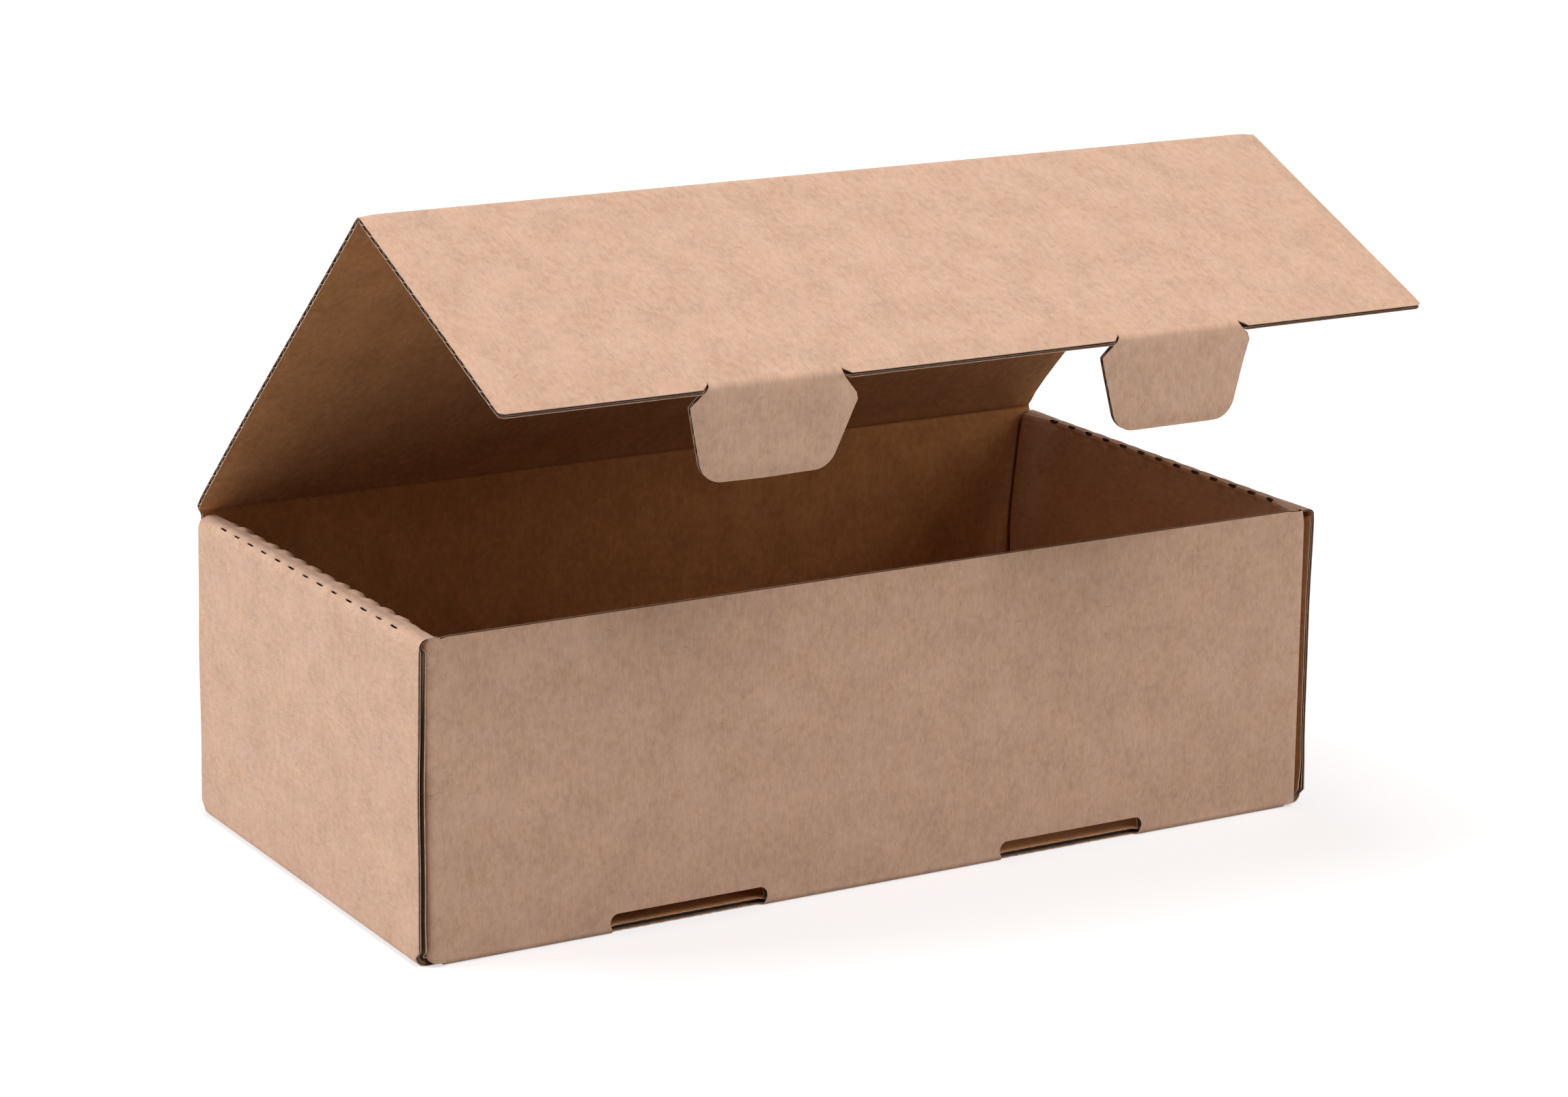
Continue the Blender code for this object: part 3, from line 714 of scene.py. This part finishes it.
def tab_grid(name, medium):
    start, end = S_TAB + TAB_CREASE[1], S_TAB + TAB_LENGTH - (0.35 * MM if medium else 0)
    turns = [S_TAB + depth * MM for depth in tab_outline(name, -1)[0]]
    marks = [start, end] + [turn for turn in turns if start < turn < end]
    rows = wavy_rows(marks) if medium else rows_between(marks, 2.5 * MM)
    left, right = tab_edges(name, rows, medium)
    return full_grid(rows, [left, left + 1.2 * MM, left + 3 * MM, right - 3 * MM, right - 1.2 * MM, right],
                     [1, 1, 4 if medium else 14, 1, 1])


def tab_crease_grid(name, medium):
    rows = rows_between([S_TAB - TAB_CREASE[0], S_TAB + TAB_CREASE[1]], 0.32 * MM)
    return full_grid(rows, tab_edges(name, rows, medium), [24])


def tab_pinch(name):
    def pinch(s, t):
        left, right = tab_edges(name, s)
        inside = np.minimum(t - left, right - t)
        edge_near = np.maximum(by_edge(inside, 2.4 * MM), by_edge(S_TAB + TAB_LENGTH - s, 2.4 * MM))
        return edge_near * smooth((s - S_TAB) / (3 * MM))

    return pinch


def tab_lift(x, seed):
    """The tabs are a little uneven, and their sides bend in."""
    def lift(s, t):
        depth = smooth((s - S_TAB - 2 * MM) / (12 * MM))
        return depth * (0.25 * MM * wander(t - x, seed, 0.05) - 0.35 * MM * ((t - x) / (29 * MM)) ** 2)
    return lift


tabs, creases = {}, {}
for (name, x), seed in zip(TAB_XS.items(), (3, 8)):
    place = main_place(PATHS[name], tab_lift(x, seed), tab_pinch(name))
    tabs[name] = make_board(name + "_sheet", partial(tab_grid, name), place, "s", sheet_uv, main_fold,
                            S_TAB + TAB_LENGTH)
    creases[name] = make_board(name + "_crease", partial(tab_crease_grid, name), place, "s", sheet_uv, main_fold)


def crease_grid(center, low_half, medium):
    """The short piece of board that bends at a crease."""
    rows = rows_between([center - CREASE, center, center + CREASE], 0.3 * MM)
    left, right = with_edges(LID_HALF, medium)
    short = (LID_HALF - low_half) * smooth((center - rows) / (1.5 * MM))
    return full_grid(rows, [left[0] + short, *left[1:], *right[:-1], right[-1] - short],
                     [1] * 4 + [40] + [1] * 4)


lid_crease = make_board("lid_crease", partial(crease_grid, S_HINGE, HINGE_HALF),
                        main_place(MAIN, lid_lift, lid_pinch, lid_skew), "s", sheet_uv, main_fold)
flap_crease = make_board("front_flap_crease", partial(crease_grid, S_RIDGE, LID_HALF),
                         main_place(MAIN, no_change, lid_pinch), "s", sheet_uv, main_fold, S_RIDGE - CREASE)


# ---------------------------------------------------------------- side walls

SLITS = [SLIT_PITCH * (i - (SLIT_COUNT - 1) / 2) for i in range(SLIT_COUNT)]
SLIT_ROW_START = -70.7 * MM               # the first slit is cut off here
LUG, LUG_SLOT = (30.0 * MM, 60.0 * MM), (29.7 * MM, 60.3 * MM)       # their ends, from the middle
# The left roll is scalloped between its slits, the right one is pressed nearly flat: how much the cut ends
# are pressed, then the height in mm of the humps on the inner and outer fold and of the waves on the roll.
SIDE_LOOKS = {1: (0.1, 0.8, 0.16, 0.12), -1: (0.42, 0.3, 0.02, 0.03)}


def side_path(side):
    """Bottom, outer wall, roll, inner wall and lug, in the XZ plane, as if on the left.
    The left wall leans in at its top.  The right roll is pressed narrow."""
    foot = [(-SEAM_X, HALF), (SIDE_X, HALF)]
    if side > 0:
        top = [(SIDE_X + 0.1 * MM, 60 * MM), (SIDE_X + 1.9 * MM, ROLL_Z), (INNER_X, ROLL_Z - 0.1 * MM)]
        return FoldPath(foot + top + [(INNER_X, CLEAR)], [1.9 * MM, 260 * MM, 1.6 * MM, 1.9 * MM])
    top = [(SIDE_X + 0.1 * MM, 60 * MM), (SIDE_X + 0.2 * MM, ROLL_Z + 0.8 * MM), (-168.0 * MM, ROLL_Z + 0.3 * MM)]
    inner = [(-166.9 * MM, 98.5 * MM), (INNER_X, 66 * MM), (INNER_X, CLEAR)]
    return FoldPath(foot + top + inner, [1.9 * MM, 260 * MM, 0.9 * MM, 0.9 * MM, 30 * MM, 200 * MM])


def slit_shape(t, width):
    """Half width of the slit openings along a fold."""
    value = np.zeros_like(t)
    for middle in SLITS:
        inside = np.clip(1 - ((t - middle) / (SLIT_LENGTH / 2)) ** 6, 0, None)
        value = np.maximum(value, width * inside ** 0.5)
    return value


def slit_hump(t, seed):
    """1 on the bridges between slits, 0 at the slits and beyond their row."""
    away = np.min([np.abs(t - middle) for middle in SLITS], axis=0)
    within = smooth((SLITS[-1] + 5.5 * MM - np.abs(t)) / (2.5 * MM))
    uneven = 1 + 0.22 * wander(t, seed, 0.03)
    return smooth((away - 1.5 * MM) / (1.9 * MM)) * within * uneven


def side_rows(path, side, marks, medium):
    """Rows along the fold path and half slit widths.  A fold with slits is two rows,
    which part at the slits, and its neighbours stand back from them."""
    _, _, s_outer, s_inner = path.folds[:4]
    fine = [(path.find(0, LUG_SLOT_X[1]), path.find(1, BOARD + CLEAR, after=path.folds[0])),
            (s_outer - 4 * MM, s_inner + 3.2 * MM)]
    rows = []
    for r in rows_between(marks, 10 * MM, fine, 0.62 * MM if medium else 0.4 * MM):
        past_inner = abs(r - s_inner)
        crowded = side < 0 and 0.61 * MM < past_inner < 0.8 * MM
        if abs(r - s_outer) >= 0.49 * MM and past_inner >= 0.59 * MM and not crowded:
            rows.append((r, 0.0))
    for r, width in zip((s_outer, s_inner), SLIT_WIDTHS[side]):
        rows += [(r, -width), (r, width)]
    return np.array(sorted(rows)).T


def slit_columns(medium):
    """Column stops along the row of slits, also at the ends of the lugs and their
    slots, and the number of columns between them."""
    ends = [m + half for m in SLITS for half in (-SLIT_LENGTH / 2, SLIT_LENGTH / 2)]
    ends += [v * way for v in (*LUG, *LUG_SLOT) for way in (-1, 1)]
    stops = [SLIT_ROW_START] + sorted(round(v, 7) for v in ends if v > SLIT_ROW_START)
    counts = []
    for a, b in zip(stops, stops[1:]):
        if medium:
            counts.append(max(1, math.ceil((b - a) / (0.75 * MM))))
        elif any(abs((a + b) / 2 - m) < SLIT_LENGTH / 2 for m in SLITS):
            counts.append(8)
        else:
            counts.append(max(1, round((b - a) / (1.2 * MM))))
    return stops, counts


def side_grid(path, side, medium):
    s_foot, _, s_outer, s_inner = path.folds[:4]
    foot_top, chamfer_top = (path.find(1, z, after=s_foot) for z in (BOARD + CLEAR, CHAMFER_Z))
    slot_a, slot_b = (path.find(0, x) for x in LUG_SLOT_X)
    inner_start = s_inner - 0.6 * MM
    floor_gap = path.find(1, BOARD + CLEAR, after=s_inner + 50 * MM)
    marks = [0, slot_a, slot_b, foot_top, chamfer_top, s_outer - 4 * MM, s_outer - 0.5 * MM, s_outer + 0.5 * MM,
             inner_start, s_inner + 0.6 * MM, s_inner + 3.2 * MM, floor_gap, path.length]
    base, width = side_rows(path, side, marks, medium)
    front_end = np.interp(base, [foot_top, chamfer_top], [FOOT_END, SIDE_END]) - (0.4 * MM if medium else 0)
    # behind, the top corner is round and the roll stops at the lid's fold
    corner = np.clip((base - (s_outer - 3.2 * MM)) / (3.2 * MM), 0, 1)
    back_end = front_end - (SIDE_END - ROLL_BACK) * (1 - np.sqrt(1 - corner ** 2))
    inner_back = INNER_BACK - (0.6 * MM if side < 0 else 0)
    stops, counts = slit_columns(medium)
    wide = 12 if medium else 4
    anchors = [-front_end, -INNER_FRONT, -80 * MM, *stops, 80 * MM, inner_back, back_end]
    T, spans = columns(base, anchors, [2, wide, wide, *counts, wide, 10 if medium else 4, 1])
    S = base[:, None] + np.sign(width)[:, None] * slit_shape(T, np.abs(width)[:, None])
    s_mid = (base[:-1] + base[1:]) / 2
    t_mid = (T[0, :-1] + T[0, 1:]) / 2
    keep = np.ones((len(s_mid), len(spans)), bool)
    slit_rows = (width[:-1] < 0) & (width[1:] > 0)
    keep[np.ix_(slit_rows, slit_shape(t_mid, 1.0) > 0)] = False
    keep[np.ix_(s_mid > inner_start, np.isin(spans, (0, spans[-1])))] = False
    in_lug, in_slot = ((np.abs(t_mid) > a) & (np.abs(t_mid) < b) for a, b in (LUG, LUG_SLOT))
    keep[np.ix_(s_mid > floor_gap, ~in_lug)] = False
    keep[np.ix_((s_mid > slot_a) & (s_mid < slot_b), in_slot)] = False
    return S, T, keep


def side_place(path, side, seed):
    """Folds a side wall.  The inner fold is humped between its slits, the roll lies
    pressed on the front wall and the outer wall bows in a little."""
    s_foot, _, s_outer, s_inner = path.folds[:4]
    end_press, inner_hump, outer_hump, wave_height = SIDE_LOOKS[side]

    def place(s, t, w):
        x, z, head = path.at(s)
        thin = 1 - 0.26 * bell(s - s_outer, 1.8 * MM) - 0.3 * bell(s - s_inner, 1.8 * MM)
        # the cut ends are pressed, and so is the roll where it lies on the front wall
        ends = by_edge(SIDE_END - np.abs(t)) * smooth((s - s_foot - 4 * MM) / (6 * MM))
        roll = smooth((s - s_outer + 3 * MM) / (2 * MM)) * smooth((s_inner + 3 * MM - s) / (2 * MM))
        lying = smooth((-t - 77 * MM) / (6 * MM)) * roll
        share = thin * (1 - np.maximum(end_press * ends, 0.68 * lying))
        if side < 0:
            # the right roll is pressed narrow, but at its ends it is as wide as the boards in it
            narrow = smooth((84 * MM - np.abs(t)) / (20 * MM))
            near_roll = smooth((s - s_outer + 7 * MM) / (6 * MM)) * smooth((s_inner + 10 * MM - s) / (7 * MM))
            share = share * (1 - 0.45 * narrow * near_roll)
            # behind, the inner panel stands a little off the back wall's corner
            low = np.where(t > 0, smooth((s_inner + 90 * MM - s) / (50 * MM)),
                           smooth((s_inner + 12 * MM - s) / (9 * MM)))
            x = x + 2.7 * MM * (1 - narrow) * smooth((s - s_outer) / (2.4 * MM)) * low
            z = z - 0.5 * MM * (1 - narrow) * near_roll
        offset = HALF - (HALF - w) * share
        if side < 0:
            offset = offset - 0.75 * MM * narrow * near_roll
        hump = slit_hump(t, seed)
        bump = inner_hump * MM * hump * bell(s - s_inner - 0.2 * MM, 1.5 * MM)
        bump = bump + outer_hump * MM * (hump - 0.4) * bell(s - s_outer, 1.6 * MM)
        turn = 2 * np.pi * t / SLIT_PITCH + 1.3 * wander(t, seed + 9, 0.02)
        waves = wave_height * MM * np.sin(turn + s * 260)
        bump = bump - roll * (0.16 * MM - waves * smooth((76 * MM - np.abs(t)) / (8 * MM)))
        wall = smooth((s - s_foot - 3 * MM) / (25 * MM)) * smooth((s_outer - 4 * MM - s) / (30 * MM))
        offset = offset + bump + wall * (-0.45 * MM + 0.3 * MM * wander(t, seed, 0.15))
        return np.stack([side * x - side * np.sin(head) * offset, t, z + np.cos(head) * offset], 1)

    return place


def side_uv(s, t):
    # the flutes run along s here, so the paper's grain turns with the sheet
    return s + 0.5, t


sides = {}
for name, side, seed in (("side_wall_left", 1, 5), ("side_wall_right", -1, 6)):
    path = side_path(side)
    worn = near([path.folds[0], path.folds[2], path.folds[3]])
    sides[name] = make_board(name, partial(side_grid, path, side), side_place(path, side, seed), "t", side_uv, worn,
                             -SIDE_END)


# -------------------------------------------------------------- corner flaps

CORNER_PATH = FoldPath([(-WALL_SEAM_X, FRONT_Y), (CORNER_X, FRONT_Y), (CORNER_X, FRONT_Y + 70 * MM)], [FOLD_R])
CORNER_FOLD = CORNER_PATH.folds[0]
SHEET_FOOT = MAIN.find(1, 50 * MM) + 50 * MM      # the front wall's foot on the sheet


def corner_top(s, front):
    """Top edge of a corner flap: under the pressed end of the roll, then under the roll."""
    start = FRONT_H - SHOULDER_DROP if front else UNDER_ROLL_Z
    return np.interp(s, [CORNER_FOLD + 5 * MM, CORNER_FOLD + 12 * MM], [start, 98 * MM])


def corner_grid(front, medium):
    fold = CORNER_FOLD
    rows = rows_between([0, fold - 3 * MM, fold + 3 * MM, fold + 9 * MM, CORNER_PATH.length], 12 * MM,
                        [(fold - 3 * MM, fold + 9 * MM)], 0.4 * MM)
    top = corner_top(rows, front)
    foot = np.interp(rows, [0, fold - 0.5 * MM, fold + 2.5 * MM], [1.15 * MM, 1.3 * MM, CORNER_FOOT_Z])
    return full_grid(rows, [foot, top - 6 * MM, top - 2 * MM, top], [140, 6, 3] if medium else [10, 2, 2])


def corner_place(side_x, side_y):
    def place(s, t, w):
        x, y, head = CORNER_PATH.at(s)
        offset = w * (1 - 0.38 * smooth((s - CORNER_FOLD) / (5 * MM)))
        if side_y > 0:
            offset = offset * (1 - 0.4 * by_edge(corner_top(s, True) - t))
        return np.stack([side_x * (x - np.sin(head) * offset), side_y * (y + np.cos(head) * offset), t], 1)

    return place


def corner_uv(side_x):
    return lambda s, t: (-side_x * (WALL_SEAM_X + s), SHEET_FOOT - t)


corners = {}
for name, side_x, side_y in (("corner_front_left", 1, 1), ("corner_front_right", -1, 1),
                             ("corner_back_left", 1, -1), ("corner_back_right", -1, -1)):
    corners[name] = make_board(name, partial(corner_grid, side_y > 0), corner_place(side_x, side_y), "t",
                               corner_uv(side_x), near([CORNER_FOLD]))


# ------------------------------------------------------- riding on the frame

for piece in (tray_board, *sides.values(), *corners.values()):
    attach(piece, "tray")
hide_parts("tray")
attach(lid_board, "lid")
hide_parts("lid_panel")
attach(flap_board, "front_flap")
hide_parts("front_flap")


def strip_point(path, s):
    y, z, _ = path.at(np.array([s]))
    return (0.0, float(y[0]), float(z[0]))


strip_point(MAIN, S_HINGE - 2.4 * MM)
strip_point(MAIN, S_HINGE + 2.4 * MM)
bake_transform(lid_crease)
strip_point(MAIN, S_RIDGE - 2.4 * MM)
strip_point(MAIN, S_RIDGE + 2.4 * MM)
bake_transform(flap_crease)
for name, tab in tabs.items():
    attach(tab, name)
    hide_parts(name)
    path = PATHS[name]
    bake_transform(creases[name], "front_flap", name, start=strip_point(path, S_TAB - 1.5 * MM),
             end=strip_point(path, S_TAB + 1.5 * MM))


# ------------------------------------------------------------ floor and light

def make_floor():
    mesh = bpy.data.meshes.new("floor")
    reach = 6.0
    mesh.from_pydata([(-reach, -reach, 0), (reach, -reach, 0), (reach, reach, 0), (-reach, reach, 0)], [],
                     [(0, 1, 2, 3)])
    floor = bpy.data.objects.new("floor", mesh)
    bpy.context.scene.collection.objects.link(floor)
    material = bpy.data.materials.new("floor_paper")
    material.use_nodes = True
    tree = material.node_tree
    tree.nodes.clear()
    # towards its rim the paper fades to pure white
    place = add_node(tree, "ShaderNodeTexCoord")
    far = add_node(tree, "ShaderNodeVectorMath", {0: place.outputs["Object"]}, operation='LENGTH')
    fade = map_range(tree, far.outputs["Value"], (0.25, 1.2), (0.6, 1.0))
    strength = math_node(tree, 'MULTIPLY', seen_by_camera(tree), fade)
    diffuse = add_node(tree, "ShaderNodeBsdfDiffuse", {"Color": (0.5, 0.495, 0.49, 1)})
    glow = add_node(tree, "ShaderNodeEmission", {"Color": (1, 1, 1, 1), "Strength": strength})
    both = add_node(tree, "ShaderNodeAddShader", {0: diffuse.outputs[0], 1: glow.outputs[0]})
    add_node(tree, "ShaderNodeOutputMaterial", {"Surface": both.outputs[0]})
    mesh.materials.append(material)


def seen_by_camera(tree):
    """1 for what the camera sees, straight, mirrored or through glass."""
    rays = add_node(tree, "ShaderNodeLightPath")
    seen = math_node(tree, 'MAXIMUM', rays.outputs["Is Camera Ray"], rays.outputs["Is Glossy Ray"])
    return math_node(tree, 'MAXIMUM', seen, rays.outputs["Is Transmission Ray"])


def make_world(level):
    world = bpy.data.worlds.new("studio")
    world.use_nodes = True
    tree = world.node_tree
    tree.nodes.clear()
    shown = add_node(tree, "ShaderNodeBackground", {"Color": (1, 1, 1, 1), "Strength": 1.0})
    fill = add_node(tree, "ShaderNodeBackground", {"Color": (0.97, 0.98, 1.0, 1), "Strength": level})
    mix = add_node(tree, "ShaderNodeMixShader", {0: seen_by_camera(tree), 1: fill.outputs[0], 2: shown.outputs[0]})
    add_node(tree, "ShaderNodeOutputWorld", {"Surface": mix.outputs[0]})
    bpy.context.scene.world = world


def softbox(name, towards, distance, size, level, color=(1, 1, 1)):
    """An area light that gives a facing surface about this level."""
    towards = Vector(towards).normalized()
    light = bpy.data.lights.new(name, 'AREA')
    light.shape = 'SQUARE'
    light.size = size
    light.energy = level * math.pi ** 2 * distance ** 2
    light.color = color
    lamp = bpy.data.objects.new(name, light)
    lamp.location = towards * distance + Vector((0, 0, 0.08))
    lamp.rotation_euler = towards.to_track_quat('Z', 'Y').to_euler()
    bpy.context.scene.collection.objects.link(lamp)


make_floor()
make_world(0.02)
softbox("left_light", (-0.85, 0.42, 0.34), 2.3, 1.0, 0.74, (0.96, 0.99, 1.08))
softbox("left_low_light", (-0.92, -0.08, 0.3), 2.3, 1.0, 0.11, (1.3, 0.8, 0.5))
softbox("top_light", (-0.1, 0.05, 0.99), 2.3, 1.0, 0.47)
softbox("front_light", (0.04, -0.6, 0.8), 2.1, 0.9, 0.50, (1.0, 0.96, 1.0))
softbox("right_light", (0.62, -0.7, 0.36), 1.35, 0.7, 0.23, (1.03, 0.96, 0.9))


# -------------------------------------------------------------------- camera

def make_camera():
    """The photograph's camera, from a fit to the box's straight edges."""
    focal_px, photo_width_px = 6174, 2296
    azimuth, elevation, roll = (math.radians(a) for a in (-29.99, 14.838, 0.328))
    back = Vector((math.sin(azimuth) * math.cos(elevation), -math.cos(azimuth) * math.cos(elevation),
                   math.sin(elevation)))
    right = Vector((math.cos(azimuth), math.sin(azimuth), 0))
    up = back.cross(right)
    turned_right = math.cos(roll) * right + math.sin(roll) * up
    turned_up = -math.sin(roll) * right + math.cos(roll) * up
    camera_data = bpy.data.cameras.new("camera")
    camera_data.sensor_fit = 'HORIZONTAL'
    camera_data.sensor_width = 36.0
    camera_data.lens = focal_px / photo_width_px * camera_data.sensor_width
    camera_data.clip_start = 0.05
    camera = bpy.data.objects.new("camera", camera_data)
    axes = Matrix((turned_right, turned_up, back)).transposed()
    camera.matrix_world = Matrix.Translation((-0.6955, -1.2235, 0.4674)) @ axes.to_4x4()
    bpy.context.scene.collection.objects.link(camera)
    bpy.context.scene.camera = camera


make_camera()
bpy.context.scene.view_settings.view_transform = 'Standard'
